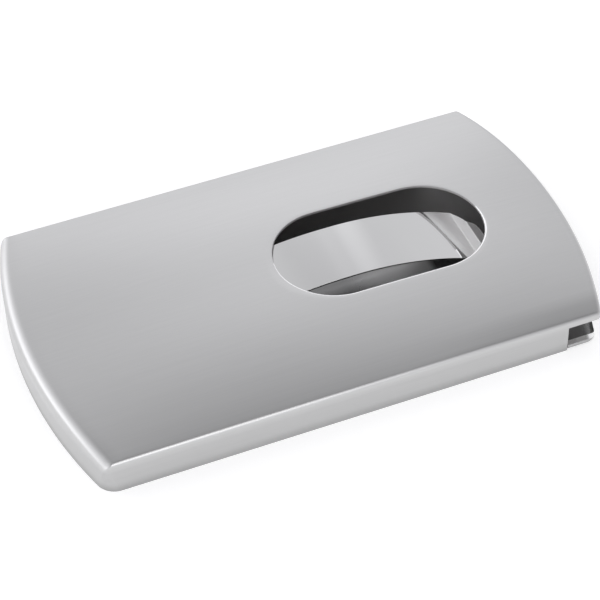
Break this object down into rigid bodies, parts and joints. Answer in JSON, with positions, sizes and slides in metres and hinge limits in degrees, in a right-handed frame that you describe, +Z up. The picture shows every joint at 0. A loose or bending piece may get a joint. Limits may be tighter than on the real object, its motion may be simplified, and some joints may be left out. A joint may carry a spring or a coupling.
{
  "type": "business card case",
  "caption": "Slim brushed steel card case with bowed ends, an open mouth, a thumb slot in the top and a bowed leaf spring inside.",
  "frame": {"origin": "on the surface the case rests on, below the middle of the case", "axes": "+X along the case towards the open mouth, +Y across the case, +Z up out of the thumb slot"},
  "size_m": [0.098, 0.058, 0.0092],
  "materials": {
    "brushed_steel": "brushed along the length of the case, satin",
    "tray_steel": "semi-bright mill finish inside, satin outside",
    "polished_steel": "mirror polished spring steel"
  },
  "bodies": {
    "case_body": {"cover": "brushed_steel", "base_tray": "tray_steel", "leaf_foot": "polished_steel"},
    "leaf_arm_body": {"leaf_arm": "polished_steel"},
    "leaf_nose_body": {"leaf_nose": "polished_steel"}
  },
  "joints": [
    {"name": "leaf_root_flex", "type": "hinge", "parent": "case_body", "child": "leaf_arm_body", "pos_m": [-0.031, 0, 0.00095], "axis": [0, 1, 0], "range_deg": [0, 8], "stiffness_Nm_per_rad": 0.5},
    {"name": "leaf_crest_flex", "type": "hinge", "parent": "leaf_arm_body", "child": "leaf_nose_body", "pos_m": [0.008, 0, 0.00895], "axis": [0, 1, 0], "range_deg": [-19.2, 0]}
  ],
  "couplings": [
    {"joint": "leaf_crest_flex", "follows": "leaf_root_flex", "ratio": -2.38}
  ]
}
